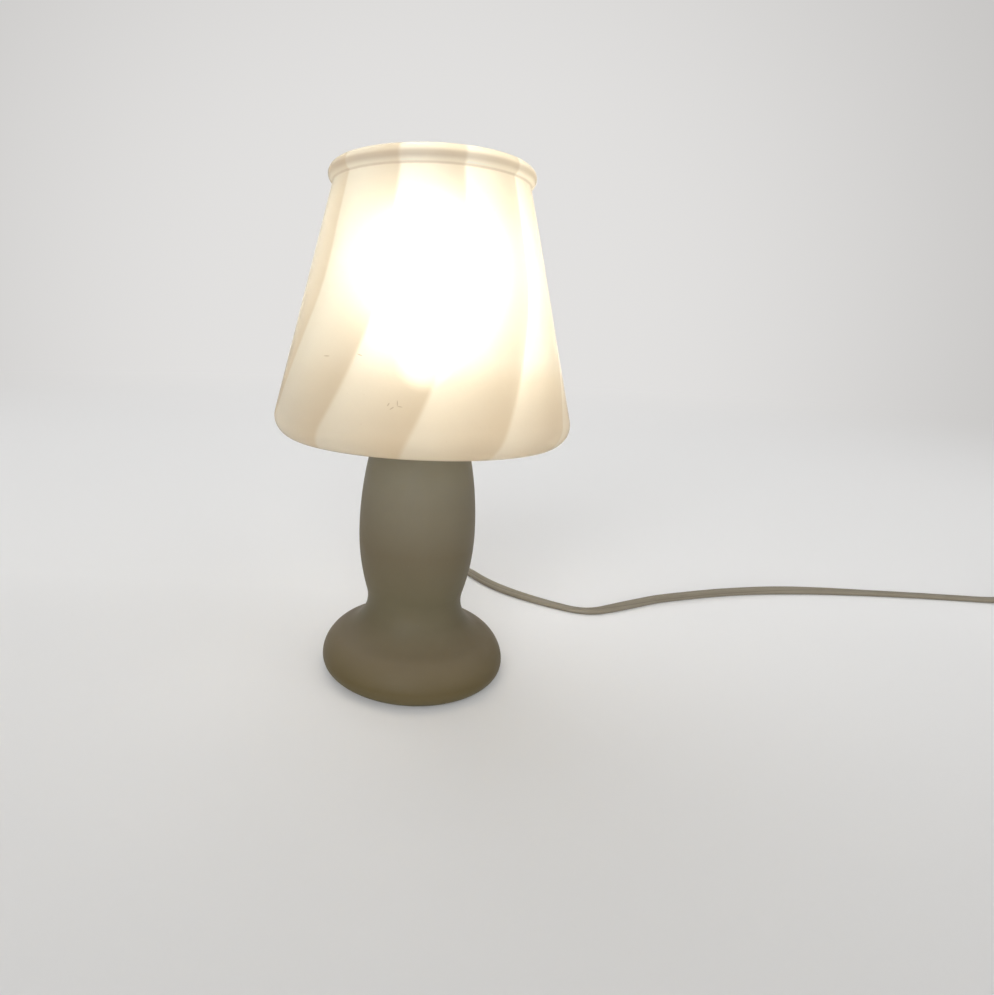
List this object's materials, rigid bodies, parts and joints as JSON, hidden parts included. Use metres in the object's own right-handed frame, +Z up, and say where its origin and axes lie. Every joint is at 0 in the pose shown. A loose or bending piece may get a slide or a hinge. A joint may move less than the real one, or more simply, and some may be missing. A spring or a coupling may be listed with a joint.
{
  "type": "mushroom table lamp",
  "caption": "Glass table lamp: a flared swirled shade with a rolled open lip on a blown glass base, a bulb that lifts out, and a flat flex with a rocker switch and a plug.",
  "frame": {"origin": "on the table, under the middle of the base", "axes": "+Z up along the lamp axis; the flex leaves the back of the foot towards +Y; the picture looks along +Y"},
  "size_m": [0.6528, 0.2235, 0.2589],
  "materials": {
    "base_glass": "satin taupe blown glass",
    "shade_glass": "frosted opal glass with swirled bands",
    "felt": "matte felt",
    "clear_rubber": "translucent",
    "white_rubber": "matte",
    "satin_metal": "satin",
    "steel": "satin",
    "zinc_steel": "zinc plated",
    "brass": "satin",
    "holder_plastic": "matte",
    "porcelain": "glazed",
    "bulb_frost": "frosted",
    "bulb_metal": "satin",
    "black_glass": "gloss",
    "clear_glass": "clear",
    "filament": "matte",
    "flex": "soft satin sheath",
    "flex_rubber": "satin",
    "switch_plastic": "fine texture",
    "rocker_plastic": "satin",
    "tie_plastic": "matte",
    "plug_nickel": "nickel plated"
  },
  "bodies": {
    "lamp": {"glass_base": "base_glass", "felt_pad": "felt", "neck_ring": "clear_rubber", "neck_cap": "satin_metal", "crossbar": "steel", "tube_nut": "brass", "threaded_tube": "zinc_steel", "shade_bush": "white_rubber", "shade_bowl": "shade_glass", "glass_shade": "shade_glass", "shade_lip": "shade_glass", "shade_washer": "white_rubber", "clamp_disc": "satin_metal", "holder_base": "holder_plastic", "holder_sleeve": "holder_plastic", "terminal_block": "porcelain", "terminal_screw_live": "brass", "terminal_screw_neutral": "brass", "screw_shell": "brass", "centre_contact": "brass", "side_contact": "brass", "inner_flex": "flex", "cord_bushing": "flex_rubber", "cord_lamp": "flex", "switch_base": "switch_plastic", "switch_cover": "switch_plastic", "bridge_saddle": "brass", "fixed_contact": "brass", "switch_screw_left": "zinc_steel", "switch_screw_right": "zinc_steel", "cord_link": "flex", "cord_coil": "flex", "coil_tie": "tie_plastic", "cord_tail": "flex", "plug_body": "switch_plastic", "plug_relief": "flex_rubber", "plug_pin_left": "plug_nickel", "plug_pin_right": "plug_nickel"},
    "bulb": {"bulb_glass": "bulb_frost", "bulb_cap": "bulb_metal", "bulb_insulator": "black_glass", "bulb_tip": "bulb_metal", "bulb_stem": "clear_glass", "bulb_filament": "filament"},
    "rocker": {"switch_rocker": "rocker_plastic", "rocker_plunger": "steel"},
    "bridge": {"contact_bridge": "brass"}
  },
  "joints": [
    {"name": "bulb_lift", "type": "slide", "parent": "lamp", "child": "bulb", "axis": [0, 0, 1], "range_m": [0, 0.11]},
    {"name": "rocker_tip", "type": "hinge", "parent": "lamp", "child": "rocker", "pos_m": [0.5, 0.128, 0.014], "axis": [0, 1, 0], "range_deg": [0, 18]},
    {"name": "bridge_tip", "type": "hinge", "parent": "lamp", "child": "bridge", "pos_m": [0.5, 0.128, 0.006], "axis": [0, 1, 0], "range_deg": [-16, 0]}
  ],
  "couplings": [
    {"joint": "bridge_tip", "follows": "rocker_tip", "ratio": -0.8888}
  ]
}
